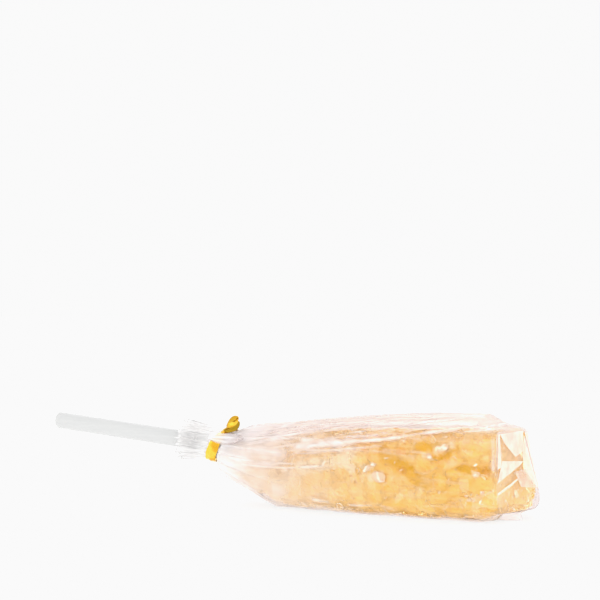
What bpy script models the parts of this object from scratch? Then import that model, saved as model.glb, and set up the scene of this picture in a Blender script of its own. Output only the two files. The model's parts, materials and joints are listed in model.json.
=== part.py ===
"""Rock candy on a stick, tied into a clear film bag with a gold twist tie, lying on its side.

X runs along the stick, from its free end to the folded end of the bag. The bag and the sugar that
fills it are one solid. Its stations are counted from the neck, where the tie sits.
"""

import math
import random

import bmesh
import bpy
from mathutils import Matrix, Vector

MM = 0.001

# The bag, from its neck at station 0 to its folded end
BAG_LENGTH = 84.0 * MM
BAG_HALF_WIDTH = 11.5 * MM
RIDGE_HEIGHT = 26.2 * MM  # of the clear tent of film above the sugar
NEAR_EAVE_HEIGHT = 22.2 * MM
FAR_EAVE_HEIGHT = 22.4 * MM
HIP_LENGTH = 6.5 * MM
FLOOR_START = 19.0 * MM  # station where the underside reaches the floor
WIDE_START = 45.0 * MM  # station where the bag has its full width
UNDERSIDE_CUT = 0.4 * MM  # the rounded underside is planed flat by this much
END_SKEW = 3.2 * MM  # the low far corner of the end stands out by this much
END_LIFT = 2.5 * MM  # and its lower edge stands clear of the floor
END_TAPER = 0.6 * MM
FAR_END_IN = 1.7 * MM  # the far wall comes in by this much more at the end
HIP_START = BAG_LENGTH - HIP_LENGTH
NECK_TO_WIDE_POWER = 0.47  # under 1, so the bag opens fast at first
RIDGE_POWER = 2.3

# Slopes of the bag's sides, in degrees from +Y to the outward normal of each side
FAR_WALL_TILT = 8
FAR_GABLE = 60
NEAR_GABLE = 71
FAR_HIP = 87
NEAR_HIP = 89
ROUND_CORNER = 0.707  # of a lower corner's reach: the chamfer of a round section
BODY_CORNER = 0.88
FAR_END_CORNER = 0.97
SECTION_SHARPNESS = (9, 16)  # of the corners, at the neck and at the end

# The neck and the frill of loose film beyond it
NECK_RADIUS = 3.7 * MM
NECK_HALF_LENGTH = 1.8 * MM
NECK_LEAN = 0.6  # the tie leans towards the candy by this much of its height
FRILL_LENGTH = 12.0 * MM
FRILL_RADIUS = 4.7 * MM
FRILL_WALL = 0.75 * MM
PLEATS = 17
PLEAT_AT_NECK = 0.1 * MM

# The stick, which rises a little towards its free end
STICK_RADIUS = 2.4 * MM
STICK_FREE_LENGTH = 55.0 * MM
STICK_IN_BAG = 20.0 * MM
STICK_HEIGHT = 15.0 * MM  # of its axis at the neck
STICK_SLOPE = 0.09
BODY_CENTRE_HEIGHT = 11.2 * MM
CLEARANCE = 0.35 * MM

# The twist tie, a flat foil ribbon round a wire
RIBBON_WIDTH = 2.6 * MM
RIBBON_THICKNESS = 0.5 * MM
TWIST_LENGTH = 2.8 * MM
TWIST_TURNS = 0.5
TWIST_DIRECTION = (0.75, -0.1, 0.65)
TAIL_LENGTH = 2.6 * MM
TAIL_CURL = 0.45
RING_STEPS = 40
TWIST_STEPS = 18
TAIL_STEPS = 6

# Sugar crystals that press flat against the tight film
CRYSTAL_FROM = 17.0 * MM
CRYSTAL_TO = 81.0 * MM
CRYSTAL_PITCH = 5.4 * MM
CRYSTAL_SIZE = (2.6 * MM, 4.6 * MM)
CRYSTAL_PROUD = (0.1 * MM, 0.75 * MM)
CRYSTAL_TILT = 0.42  # radians, at most, between a crystal's flat side and the film
SIDE_ANGLES = (-48, -20, 8, 28, 150, 172, 200, 228)  # degrees round the bag, from +Y towards +Z

# Where the mesh has its rings, in mm from the neck
FRILL_STATIONS = (-12, -9.5, -7.2, -5, -3.2, -1.8)
FRILL_INSIDE_STATIONS = (-5.5, -9, -11.6)
BODY_STATIONS = (1.8, 2.5, 3.6, 5.2, 7.2, 10, 14, 19, 25, 32, 40, 49, 58, 67, 77.5, 80.5, 83.4)
BORE_STATIONS = (20.4, -2.5)

# Folds on the wrapped end, as (across, height) corners in mm
END_FOLDS = {
    "fold_top": ((-9.0, 20.8), (5.2, 19.6), (-0.2, 13.6)),
    "fold_near": ((-10.2, 8.8), (-9.8, 14.3), (4.8, 11.6)),
    "fold_patch": ((-1.2, 9.6), (7.2, 9.4), (7.8, 4.6)),
    "fold_far": ((6.0, 19.2), (8.0, 17.6), (9.0, 9.0), (8.8, 5.4), (5.4, 13.0)),
}
FOLD_PROUD = 0.9 * MM
FOLD_ROOT = 2 * MM
# A lip of film on the floor, as (beyond the end, across) corners in mm
FLOOR_LIP = ((-3, -7), (1.2, -8), (2.6, -2), (-3, 4))
FLOOR_LIP_HEIGHT = 0.35 * MM
SEED = 41


def lerp(a, b, share):
    return a + (b - a) * share


def ease(value, start, end):
    """0 before start and 1 after end, with a smooth step between."""
    share = min(1.0, max(0.0, (value - start) / (end - start)))
    return share * share * (3 - 2 * share)


def clear_scene():
    for thing in list(bpy.data.objects):
        bpy.data.objects.remove(thing)


def new_collection(name):
    collection = bpy.data.collections.new(name)
    bpy.context.scene.collection.children.link(collection)
    return collection


def new_object(name, mesh, collection):
    made = bpy.data.objects.new(name, mesh)
    collection.objects.link(made)
    return made


def move_to(thing, collection):
    for old in list(thing.users_collection):
        old.objects.unlink(thing)
    collection.objects.link(thing)


def material(name, colour, roughness, metallic=0.0):
    made = bpy.data.materials.new(name)
    made.use_nodes = True
    shader = made.node_tree.nodes["Principled BSDF"]
    shader.inputs["Base Color"].default_value = (*colour, 1)
    shader.inputs["Roughness"].default_value = roughness
    shader.inputs["Metallic"].default_value = metallic
    made.diffuse_color = (*colour, 1)
    return made


# Outline of the bag

def stick_height(station):
    return STICK_HEIGHT - STICK_SLOPE * station


def centre_height(station):
    return max(BODY_CENTRE_HEIGHT, stick_height(station))


def spread(station, full_at):
    """0 at the neck and 1 where the bag has opened out, fast at first."""
    past_neck = max(0.0, station - NECK_HALF_LENGTH) / (full_at - NECK_HALF_LENGTH)
    return min(1.0, past_neck) ** NECK_TO_WIDE_POWER


def half_width(station):
    end_taper = END_TAPER * ease(station, HIP_START, BAG_LENGTH)
    return lerp(NECK_RADIUS, BAG_HALF_WIDTH, spread(station, WIDE_START)) - end_taper


def depth_below(station):
    """From the centre line down to the underside."""
    neck_underside = STICK_HEIGHT - NECK_RADIUS
    underside = lerp(neck_underside, -UNDERSIDE_CUT, spread(station, FLOOR_START))
    return centre_height(station) - underside - END_LIFT * ease(station, HIP_START, BAG_LENGTH)


def height_above(station, eave):
    """From the centre line up to the ridge of the film, which ends in a hip down to the eave."""
    neck_top = STICK_HEIGHT + NECK_RADIUS
    past_neck = max(0.0, station - NECK_HALF_LENGTH) / (HIP_START - NECK_HALF_LENGTH)
    ridge = lerp(neck_top, RIDGE_HEIGHT, 1 - (1 - min(1.0, past_neck)) ** RIDGE_POWER)
    hip = min(1.0, max(0.0, station - HIP_START) / HIP_LENGTH)
    return lerp(ridge, eave, hip) - centre_height(station)


def section_planes(station):
    """(angle, distance) of the flat sides of the bag's section, seen from its centre.

    Angles run from the far side, +Y, over the top to the near side and on underneath.
    """
    body = ease(station, 2 * MM, 26 * MM)
    hip = ease(station, HIP_START, BAG_LENGTH)
    wide, below = half_width(station), depth_below(station)
    far_wall = math.radians(FAR_WALL_TILT) * ease(station, BAG_LENGTH / 2, BAG_LENGTH)
    far_gable = math.radians(lerp(lerp(45, FAR_GABLE, body), FAR_HIP, hip))
    near_gable = math.radians(lerp(lerp(45, NEAR_GABLE, body), NEAR_HIP, hip))
    far_above = height_above(station, (FAR_EAVE_HEIGHT + NEAR_EAVE_HEIGHT) / 2)
    near_above = height_above(station, NEAR_EAVE_HEIGHT)
    corner = lerp(ROUND_CORNER, BODY_CORNER, body) * math.sin(math.pi / 4) * (wide + below)
    return [
        (far_wall, wide - FAR_END_IN * hip),
        (far_gable, far_above * lerp(1, math.sin(far_gable), body)),
        (math.radians(90), near_above * lerp(1, 1.3, body)),
        (math.radians(180) - near_gable, near_above * lerp(1, math.sin(near_gable), body)),
        (math.radians(180), wide),
        (math.radians(225), corner),
        (math.radians(270), below),
        (math.radians(315), corner * lerp(1, FAR_END_CORNER, hip)),
    ]


def film_radius(station, angle):
    """The section's radius at an angle: a polygon of flat sides with rounded corners."""
    if station <= 0:
        past_neck = max(0.0, -station - NECK_HALF_LENGTH) / (FRILL_LENGTH - NECK_HALF_LENGTH)
        return lerp(NECK_RADIUS, FRILL_RADIUS, past_neck)
    sharpness = lerp(*SECTION_SHARPNESS, ease(station, 0, BAG_LENGTH))
    total = 0.0
    for normal, distance in section_planes(station):
        total += max(0.0, math.cos(angle - normal) / distance) ** sharpness
    return total ** (-1 / sharpness)


def lean(station):
    """How far a ring leans along X for each metre above the centre line."""
    if station < 0:
        return lerp(NECK_LEAN, 0.1, ease(-station, 0, FRILL_LENGTH))
    return NECK_LEAN * (1 - ease(station, 0, 10 * MM))


def bag_point(station, angle, radius):
    across, rise = radius * math.cos(angle), radius * math.sin(angle)
    skew = END_SKEW * ease(station, HIP_START - 2 * HIP_LENGTH, BAG_LENGTH)
    far_and_low = (across - rise) / BAG_HALF_WIDTH / 2
    return Vector((
        station + lean(station) * rise + skew * max(0.0, far_and_low),
        across,
        centre_height(station) + rise,
    ))


# Pleats that gather the film into the neck

def gathered_film(rng):
    """(angle, crest or valley, reach, depth) for each line of the mesh round the bag."""
    crests = [math.tau * (n + rng.uniform(-0.22, 0.22)) / PLEATS for n in range(PLEATS)]
    lines = []
    for n, crest in enumerate(crests):
        after = crests[(n + 1) % PLEATS] + (math.tau if n + 1 == PLEATS else 0)
        upward = max(0.0, math.sin(crest))
        reach = lerp(rng.uniform(9, 16), rng.uniform(18, 46), upward) * MM
        depth = rng.uniform(0.45, 0.85) * MM
        gap = after - crest
        lines += [
            (crest, 1.0, reach, depth),
            (crest + gap * 0.28, 0.0, reach, depth),
            (crest + gap * 0.5, -1.0, reach, depth),
            (crest + gap * 0.75, 0.0, reach, depth),
        ]
    return lines


def pleat_offset(station, side, reach, depth):
    if station < 0:
        return side * (PLEAT_AT_NECK + 0.9 * MM * ease(-station, NECK_HALF_LENGTH, FRILL_LENGTH))
    grown = ease(station, NECK_HALF_LENGTH, 3 * NECK_HALF_LENGTH)
    fade = math.exp(-max(0.0, station - 3 * NECK_HALF_LENGTH) / reach)
    flat_end = 1 - ease(station, HIP_START, BAG_LENGTH)
    return side * PLEAT_AT_NECK + (side - 0.5) * grown * depth * fade * flat_end


def outer_ring(station, lines):
    ring = []
    for angle, side, reach, depth in lines:
        radius = film_radius(station, angle) + pleat_offset(station, side, reach, depth)
        ring.append(bag_point(station, angle, radius))
    return ring


def end_ring(share, bulge, lines):
    """A ring on the folded end, shrunk to a share of the last section."""
    return [
        bag_point(BAG_LENGTH, angle, share * film_radius(BAG_LENGTH, angle)) + Vector((bulge, 0, 0))
        for angle, _, _, _ in lines
    ]


def frill_inside_ring(station, lines):
    ring = []
    for angle, side, reach, depth in lines:
        radius = film_radius(station, angle) + pleat_offset(station, side, reach, depth)
        ring.append(bag_point(station, angle, max(bore_radius(), radius - FRILL_WALL)))
    return ring


def bore_radius():
    return STICK_RADIUS + CLEARANCE


def bore_ring(station, lines):
    """A ring of the hole that the stick fills, square to the stick."""
    ring = []
    for angle, _, _, _ in lines:
        rise = bore_radius() * math.sin(angle)
        ring.append(Vector((
            station + STICK_SLOPE * rise,
            bore_radius() * math.cos(angle),
            stick_height(station) + rise,
        )))
    return ring


def skin(rings):
    """A closed mesh over a row of rings, with a flat cap on each end."""
    bm = bmesh.new()
    rows = [[bm.verts.new(point) for point in ring] for ring in rings]
    count = len(rows[0])
    for one, two in zip(rows, rows[1:]):
        for n in range(count):
            m = (n + 1) % count
            bm.faces.new((one[n], one[m], two[m], two[n]))
    for row in (rows[0], rows[-1]):
        middle = sum((vert.co for vert in row), Vector()) / count
        centre = bm.verts.new(middle)
        for n in range(count):
            bm.faces.new((row[n], row[(n + 1) % count], centre))
    bmesh.ops.recalc_face_normals(bm, faces=bm.faces)
    mesh = bpy.data.meshes.new("skin")
    bm.to_mesh(mesh)
    bm.free()
    return mesh


def bag_mesh(lines):
    """One surface from the bottom of the bore, round the frill's rim and on to the folded end."""
    bore = [bore_ring(station * MM, lines) for station in BORE_STATIONS]
    inside = [frill_inside_ring(station * MM, lines) for station in FRILL_INSIDE_STATIONS]
    outside = [outer_ring(station * MM, lines) for station in FRILL_STATIONS + BODY_STATIONS]
    end = [end_ring(0.9, 0, lines), end_ring(0.55, 0.5 * MM, lines)]
    return skin(bore + inside + outside + end)


# Sugar crystals

def crystal_points(length, width, thickness):
    """Corners of a sugar crystal: a slanted six-sided bar with bevelled ends."""
    slanted_hexagon = ((1, 0), (0.72, 1), (-0.38, 1), (-1, 0), (-0.72, -1), (0.38, -1))
    points = []
    for along, share in ((-1, 0.62), (-0.66, 1), (0.66, 1), (1, 0.62)):
        for across, up in slanted_hexagon:
            points.append(Vector((along * length, across * share * width, up * share * thickness)))
    return points


def faceted_mesh(points):
    """The flat-sided solid that just holds the points."""
    bm = bmesh.new()
    for point in points:
        bm.verts.new(point)
    bmesh.ops.convex_hull(bm, input=bm.verts)
    bmesh.ops.recalc_face_normals(bm, faces=bm.faces)
    mesh = bpy.data.meshes.new("faceted")
    bm.to_mesh(mesh)
    bm.free()
    return mesh


def flat_against(outward, rng):
    """A turn that lays a crystal's flat side roughly square to outward."""
    spin = Matrix.Rotation(rng.uniform(0, math.tau), 3, "Z")
    tilt = Matrix.Rotation(rng.uniform(-CRYSTAL_TILT, CRYSTAL_TILT), 3, "X")
    tilt = Matrix.Rotation(rng.uniform(-CRYSTAL_TILT, CRYSTAL_TILT), 3, "Y") @ tilt
    return outward.to_track_quat("Z", "X").to_matrix() @ tilt @ spin


def pressed_crystal(name, place, outward, proud, rng, collection):
    """A crystal whose furthest corner stands proud of the film at place."""
    size = rng.uniform(*CRYSTAL_SIZE)
    points = crystal_points(size, size * rng.uniform(0.6, 0.85), size * rng.uniform(0.35, 0.5))
    turn = flat_against(outward, rng)
    points = [turn @ point for point in points]
    reach = max(point.dot(outward) for point in points)
    crystal = new_object(name, faceted_mesh(points), collection)
    crystal.location = place + outward * (proud - reach)


def side_crystals(rng, collection):
    count = round((CRYSTAL_TO - CRYSTAL_FROM) / CRYSTAL_PITCH)
    for row, degrees in enumerate(SIDE_ANGLES):
        for n in range(count):
            share = (n + 0.5 * (row % 2) + rng.uniform(-0.3, 0.3)) / (count - 0.5)
            station = lerp(CRYSTAL_FROM, CRYSTAL_TO, min(1.0, max(0.0, share)))
            angle = math.radians(degrees + rng.uniform(-8, 8))
            place = bag_point(station, angle, film_radius(station, angle))
            outward = Vector((0, math.cos(angle), math.sin(angle)))
            proud = rng.uniform(*CRYSTAL_PROUD)
            pressed_crystal(f"crystal_{row}_{n}", place, outward, proud, rng, collection)


def end_fold(name, corners, collection):
    """A triangle of film folded flat on the end of the bag."""
    points = []
    for across, height in corners:
        far_and_low = across * MM - height * MM + BODY_CENTRE_HEIGHT
        skew = END_SKEW * max(0.0, far_and_low) / BAG_HALF_WIDTH / 2
        for x in (BAG_LENGTH - FOLD_ROOT, BAG_LENGTH + FOLD_PROUD):
            points.append(Vector((x + skew, across * MM, height * MM)))
    new_object(name, faceted_mesh(points), collection)


def floor_lip(collection):
    points = []
    for beyond, across in FLOOR_LIP:
        for height in (-FLOOR_LIP_HEIGHT, FLOOR_LIP_HEIGHT):
            points.append(Vector((BAG_LENGTH + beyond * MM, across * MM, height)))
    new_object("floor_lip", faceted_mesh(points), collection)


# Joining

def keep_result(thing, collection):
    """Replaces the mesh of thing by what its modifiers make, and removes the collection's objects."""
    bpy.context.view_layer.update()
    evaluated = thing.evaluated_get(bpy.context.evaluated_depsgraph_get())
    made = bpy.data.meshes.new_from_object(evaluated)
    thing.modifiers.clear()
    thing.data = made
    for helper in list(collection.objects):
        bpy.data.objects.remove(helper)
    bpy.data.collections.remove(collection)


def add_boolean(thing, operation, collection):
    boolean = thing.modifiers.new(operation.lower(), "BOOLEAN")
    boolean.operation = operation
    boolean.operand_type = "COLLECTION"
    boolean.collection = collection
    boolean.solver = "EXACT"


def flatten_underside(bag):
    """Cuts off what lies below the floor."""
    below = new_collection("below_floor")
    depth = BAG_HALF_WIDTH
    bpy.ops.mesh.primitive_cube_add(size=1, location=(BAG_LENGTH / 2, 0, -depth / 2))
    block = bpy.context.object
    block.scale = (2 * BAG_LENGTH, 4 * BAG_HALF_WIDTH, depth)
    move_to(block, below)
    add_boolean(bag, "DIFFERENCE", below)
    keep_result(bag, below)


def make_wrapped_candy(parts):
    rng = random.Random(SEED)
    lines = gathered_film(rng)
    bag = new_object("wrapped_candy", bag_mesh(lines), parts)
    pressed = new_collection("pressed_crystals")
    side_crystals(rng, pressed)
    for name, corners in END_FOLDS.items():
        end_fold(name, corners, pressed)
    floor_lip(pressed)
    add_boolean(bag, "UNION", pressed)
    keep_result(bag, pressed)
    flatten_underside(bag)
    bag.data.materials.clear()
    bag.data.materials.append(material("film_over_amber_sugar", (0.93, 0.62, 0.26), 0.25))


# Stick

def make_stick(parts):
    length = STICK_FREE_LENGTH + STICK_IN_BAG
    bpy.ops.mesh.primitive_cylinder_add(vertices=32, radius=STICK_RADIUS, depth=length)
    stick = bpy.context.object
    stick.name = "stick"
    move_to(stick, parts)
    middle = (STICK_IN_BAG - STICK_FREE_LENGTH) / 2
    stick.location = (middle, 0, stick_height(middle))
    stick.rotation_euler = (0, math.radians(90) + math.atan(STICK_SLOPE), 0)
    bevel = stick.modifiers.new("rounded_ends", "BEVEL")
    bevel.width = 0.7 * MM
    bevel.segments = 3
    bevel.limit_method = "ANGLE"
    stick.data.shade_smooth()
    stick.data.set_sharp_from_angle(angle=math.radians(40))
    stick.data.materials.append(material("white_plastic", (0.9, 0.9, 0.89), 0.4))


# Twist tie

def ribbon(places, along, across, width, thickness, closed=False):
    """A solid ribbon through places; along and across give its length and width directions."""
    bm = bmesh.new()
    corner = 0.3 * thickness
    half_wide, half_thick = width / 2, thickness / 2
    outline = (
        (half_wide - corner, -half_thick), (half_wide, -half_thick + corner),
        (half_wide, half_thick - corner), (half_wide - corner, half_thick),
        (corner - half_wide, half_thick), (-half_wide, half_thick - corner),
        (-half_wide, corner - half_thick), (corner - half_wide, -half_thick),
    )
    rows = []
    for place, forward, side in zip(places, along, across):
        normal = forward.cross(side).normalized()
        wide = normal.cross(forward).normalized()
        rows.append([bm.verts.new(place + wide * w + normal * t) for w, t in outline])
    count = len(outline)
    following = rows[1:] + rows[:1] if closed else rows[1:]
    for one, two in zip(rows, following):
        for n in range(count):
            m = (n + 1) % count
            bm.faces.new((one[n], one[m], two[m], two[n]))
    if not closed:
        bm.faces.new(rows[0])
        bm.faces.new(rows[-1])
    bmesh.ops.recalc_face_normals(bm, faces=bm.faces)
    mesh = bpy.data.meshes.new("ribbon")
    bm.to_mesh(mesh)
    bm.free()
    return mesh


def tie_ring_mesh(radius):
    """The ribbon once round the neck, leaning with it."""
    places, along, across = [], [], []
    for n in range(RING_STEPS):
        angle = math.tau * n / RING_STEPS
        out = Vector((NECK_LEAN * math.sin(angle), math.cos(angle), math.sin(angle)))
        forward = Vector((NECK_LEAN * math.cos(angle), -math.sin(angle), math.cos(angle)))
        places.append(Vector((0, 0, STICK_HEIGHT)) + radius * out)
        along.append(forward.normalized())
        across.append(Vector((1, 0, 0)))
    return ribbon(places, along, across, RIBBON_WIDTH, RIBBON_THICKNESS, closed=True)


def twist_mesh(start, direction):
    """The two ends of the ribbon wound round each other."""
    sideways = direction.cross(Vector((0, 1, 0))).normalized()
    other = direction.cross(sideways)
    places, across = [], []
    for n in range(TWIST_STEPS + 1):
        share = n / TWIST_STEPS
        turn = math.tau * TWIST_TURNS * share
        places.append(start + direction * TWIST_LENGTH * share)
        across.append(sideways * math.cos(turn) + other * math.sin(turn))
    along = [direction] * len(places)
    return ribbon(places, along, across, RIBBON_WIDTH * 0.8, RIBBON_THICKNESS * 2.4)


def tail_mesh(start, direction, bend):
    """A loose end that curls away from the twist."""
    places, along, across = [], [], []
    for n in range(TAIL_STEPS + 1):
        share = n / TAIL_STEPS
        places.append(start + (direction * share + bend * TAIL_CURL * share * share) * TAIL_LENGTH)
        along.append((direction + bend * 2 * TAIL_CURL * share).normalized())
        across.append(direction.cross(bend))
    return ribbon(places, along, across, RIBBON_WIDTH * 0.85, RIBBON_THICKNESS)


def make_twist_tie(parts):
    radius = NECK_RADIUS + PLEAT_AT_NECK + CLEARANCE + RIBBON_THICKNESS / 2
    tie = new_object("twist_tie", tie_ring_mesh(radius), parts)
    joined = new_collection("tie_pieces")
    direction = Vector(TWIST_DIRECTION).normalized()
    start = Vector((NECK_LEAN * radius, 0, STICK_HEIGHT + radius))
    new_object("twist", twist_mesh(start, direction), joined)
    tip = start + direction * (TWIST_LENGTH - 1 * MM)
    sideways = direction.cross(Vector((0, 1, 0))).normalized()
    for n, side in enumerate((1, -1)):
        new_object(f"tail_{n}", tail_mesh(tip, direction, sideways * side), joined)
    add_boolean(tie, "UNION", joined)
    keep_result(tie, joined)
    tie.data.materials.clear()
    tie.data.materials.append(material("gold_foil", (0.83, 0.6, 0.16), 0.28, 1.0))


def put_origin_under_middle(parts):
    """Moves the parts so that the origin is the middle of the base of their box."""
    bpy.context.view_layer.update()
    graph = bpy.context.evaluated_depsgraph_get()
    corners = []
    for part in parts.objects:
        evaluated = part.evaluated_get(graph)
        mesh = evaluated.to_mesh()
        corners += [evaluated.matrix_world @ vert.co for vert in mesh.vertices]
        evaluated.to_mesh_clear()
    low = Vector([min(corner[axis] for corner in corners) for axis in range(3)])
    high = Vector([max(corner[axis] for corner in corners) for axis in range(3)])
    shift = Vector(((low.x + high.x) / 2, (low.y + high.y) / 2, low.z))
    for part in parts.objects:
        part.location -= shift


def main():
    clear_scene()
    parts = new_collection("rock_candy_stick")
    make_wrapped_candy(parts)
    make_stick(parts)
    make_twist_tie(parts)
    put_origin_under_middle(parts)


main()
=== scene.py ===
"""Looks of the rock candy stick: amber sugar crystals in a clear film bag, a white stick and a gold tie."""

import json
import random
from math import atan, atan2, cos, degrees, exp, hypot, pi, radians, sin, sqrt, tau

import bmesh
import bpy
from mathutils import Matrix, Vector, noise

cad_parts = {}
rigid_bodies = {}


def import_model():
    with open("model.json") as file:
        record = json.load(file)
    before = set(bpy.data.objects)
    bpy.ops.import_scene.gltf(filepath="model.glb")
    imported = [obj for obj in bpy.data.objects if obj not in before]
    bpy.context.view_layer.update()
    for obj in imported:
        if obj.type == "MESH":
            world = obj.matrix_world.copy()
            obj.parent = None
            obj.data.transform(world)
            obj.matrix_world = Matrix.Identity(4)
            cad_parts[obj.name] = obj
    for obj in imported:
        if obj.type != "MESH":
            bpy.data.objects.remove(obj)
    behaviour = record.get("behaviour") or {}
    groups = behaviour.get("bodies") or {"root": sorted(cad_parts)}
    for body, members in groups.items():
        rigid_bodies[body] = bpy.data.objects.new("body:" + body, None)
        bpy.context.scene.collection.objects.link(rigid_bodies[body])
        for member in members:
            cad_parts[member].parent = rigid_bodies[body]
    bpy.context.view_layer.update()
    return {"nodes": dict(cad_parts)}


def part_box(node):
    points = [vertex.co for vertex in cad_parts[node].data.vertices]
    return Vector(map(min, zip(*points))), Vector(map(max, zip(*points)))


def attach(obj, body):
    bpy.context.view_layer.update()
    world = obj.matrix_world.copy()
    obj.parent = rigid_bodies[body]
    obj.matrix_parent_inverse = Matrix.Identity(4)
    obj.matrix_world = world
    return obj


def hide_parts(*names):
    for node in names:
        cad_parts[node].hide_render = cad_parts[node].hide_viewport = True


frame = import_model()

MM = 0.001

# The photograph's view: where the camera stands, and the pixel on which a point lies, measured from the neck
PICTURE_SIDE = 600
VIEW_AZIMUTH = 28
VIEW_ELEVATION = 5
VIEW_DISTANCE = 440 * MM
VIEW_POINT = Vector((46.6, 0, 11.4)) * MM
VIEW_POINT_PIXEL = (378, 466)
FOCAL_PIXELS = 1738
SENSOR_WIDTH = 36.0

# The brightest white of the photograph, as a share of full white
WHITE_LEVEL = 0.955

# Strength of the light all round, at the horizon and from STUDIO_TOP up, and of what the camera sees there
STUDIO_LIGHT = (2.5, 1.55)
STUDIO_TOP = 0.9
SEEN_LIGHT = 1.0
# The floor is a light table: its glow and the light it gives back, each for the candy and for the camera
FLOOR_GLOW = (1.4, 0.83)
FLOOR_WHITE = (0.3, 0.12)
FLOOR_UNEVEN = 0.004
FLOOR_HALF = 20.0
# A box of light behind the candy
BACK_BOX_SIZE = (0.5, 0.3)
BACK_BOX_PLACE = Vector((-0.468, 0.639, 0.611)) * 0.9

# The bag, as in the part: stations are counted from the neck, where the tie sits
BAG_LENGTH = 84.0 * MM
BAG_HALF_WIDTH = 11.5 * MM
RIDGE_HEIGHT = 26.2 * MM
NEAR_EAVE_HEIGHT = 22.2 * MM
FAR_EAVE_HEIGHT = 22.4 * MM
HIP_LENGTH = 6.5 * MM
FLOOR_START = 19.0 * MM
WIDE_START = 45.0 * MM
BODY_RANGE = (2 * MM, 26 * MM)
UNDERSIDE_CUT = 0.4 * MM
END_SKEW = 3.2 * MM
END_LIFT = 2.5 * MM
END_TAPER = 0.6 * MM
FAR_END_IN = 1.7 * MM
HIP_START = BAG_LENGTH - HIP_LENGTH
NECK_TO_WIDE_POWER = 0.47
RIDGE_POWER = 2.3
RIDGE_SLACK = 1.3
FAR_WALL_TILT = 8
ROUND_GABLE = 45
FAR_GABLE = 60
NEAR_GABLE = 71
FAR_HIP = 87
NEAR_HIP = 89
ROUND_CORNER = 0.707
BODY_CORNER = 0.88
FAR_END_CORNER = 0.97
SECTION_SHARPNESS = (9, 16)
NECK_RADIUS = 3.7 * MM
NECK_HALF_LENGTH = 1.8 * MM
NECK_LEAN = 0.6
RIM_LEAN = 0.1
LEAN_REACH = 10 * MM
FRILL_LENGTH = 12.0 * MM
FRILL_RADIUS = 4.7 * MM
STICK_HEIGHT = 15.0 * MM
STICK_SLOPE = 0.09
STICK_MIDDLE = -17.5 * MM
BODY_CENTRE_HEIGHT = 11.2 * MM

# Pleats: how uneven they are, how far they reach in mm below and above, and their depth in mm
PLEATS = 17
PLEAT_SEED = 41
PLEAT_JITTER = 0.22
PLEAT_REACH_BELOW = (9, 16)
PLEAT_REACH_ABOVE = (18, 46)
PLEAT_DEPTH = (0.45, 0.85)
PLEAT_AT_NECK = 0.1 * MM
PLEAT_FLARE = 0.9 * MM
PLEATS_GROWN = 3 * NECK_HALF_LENGTH

# The film
FILM_THICKNESS = 0.05 * MM
FILM_AROUND = 272
FILM_STEP = 0.7 * MM
FILM_TO = BAG_LENGTH - 0.3 * MM
FILM_DENT = 0.3 * MM
DENT_SIZE = 6.5 * MM
TIGHT_RANGE = (14 * MM, 30 * MM)
CREASE_HEIGHT = 0.22 * MM
RIM_SHARES = (0.99, 0.96, 0.9, 0.8, 0.7, 0.6, 0.5, 0.4, 0.3, 0.2, 0.1)
# Creases on the shown side: (station in mm, degrees round the bag) points, width in mm and haze
CREASES = (
    (((26, 173), (33, 155), (44.5, 148), (54.5, 145), (64, 139), (72, 134), (80, 127)), 0.5, 0.8),
    (((30, 160), (38, 150), (48, 143), (58, 139), (66, 133)), 0.35, 0.5),
    (((44, 140), (58, 131), (66, 122), (74, 106)), 0.4, 0.7),
    (((40, 132), (56, 120), (68, 108)), 0.4, 0.5),
    (((50, 137), (62, 128), (72, 117)), 0.3, 0.4),
    (((12, 172), (26, 172)), 2.4, 0.35),
    (((10, 206), (18, 198), (27, 190), (38, 178)), 0.45, 0.5),
    (((8, 198), (16, 191), (28, 184)), 0.35, 0.35),
    (((20, 222), (27, 222)), 2.4, 0.25),
    (((18, 152), (40, 126), (60, 108)), 0.5, 0.35),
    (((10, 164), (30, 140), (46, 128)), 0.6, 0.4),
    (((33, 222), (38, 221)), 0.7, 0.45),
    (((44, 219), (50.5, 218)), 0.4, 0.4),
    (((75, 208), (79, 204), (84, 195)), 0.3, 0.35),
    (((66, 128), (76, 120)), 2.0, 0.3),
    (((83.0, 138), (83.3, 156), (83.0, 174)), 0.9, 0.5),
    (((27, 160), (36, 152), (46, 148)), 1.3, 0.7),
    (((29, 151), (38, 147), (47, 143)), 1.0, 0.5),
    (((79.6, 131), (80.6, 121), (81.6, 107), (81.8, 88)), 0.5, 1.0),
    (((24, 166), (34, 160), (44, 156)), 0.5, 0.5),
    (((68, 147), (76, 143), (81, 141)), 2.2, 0.14),
)
# Fine creases that fan out of the neck over the tent: the degrees at which they start, and their length in mm
FAN_CREASES = 22
FAN_START = (104, 178)
FAN_LENGTH = (18, 44)
RANDOM_CREASES = 26
# A line that is partly the brown of densely folded film and partly painted shade lies beside each crease that
# is finer than this in mm, this many crease widths away
FINE_CREASE = 1.2
SHADE_GAP = 1.2
# Haze over the film: strength and reach from the neck, and the share of it that is left in the frill
NECK_HAZE = (0.66, 24.0 * MM)
FRILL_HAZE = 0.5
# Haze on the ridge, on the slope above the folded end and along the foot: its strength, how far the film
# faces up or down where it sets in, and the stations over which it sets in
RIDGE_HAZE = (0.2, (0.8, 0.93), (0, 20 * MM))
END_HAZE = (0.24, (0.62, 0.76), (58 * MM, 74 * MM))
FOOT_HAZE = (0.5, (0.72, 0.8), (24 * MM, 44 * MM))
FOOT_FADE = (0.88, 0.95)
# Haze of the gathered film and of its crests, painted shade in its valleys, and the most haze of all
GATHERED_HAZE = 0.12
CREST_HAZE = 0.45
VALLEY_SHADE = 0.28
MOST_HAZE = 0.85
# The folded end: its haze, the haze of its rim below and above, and the painted shade near the rim of its
# upper half
END_FILM_HAZE = 0.03
END_RIM_HAZE = (0.06, 0.4)
END_SHADE = 0.25

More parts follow.
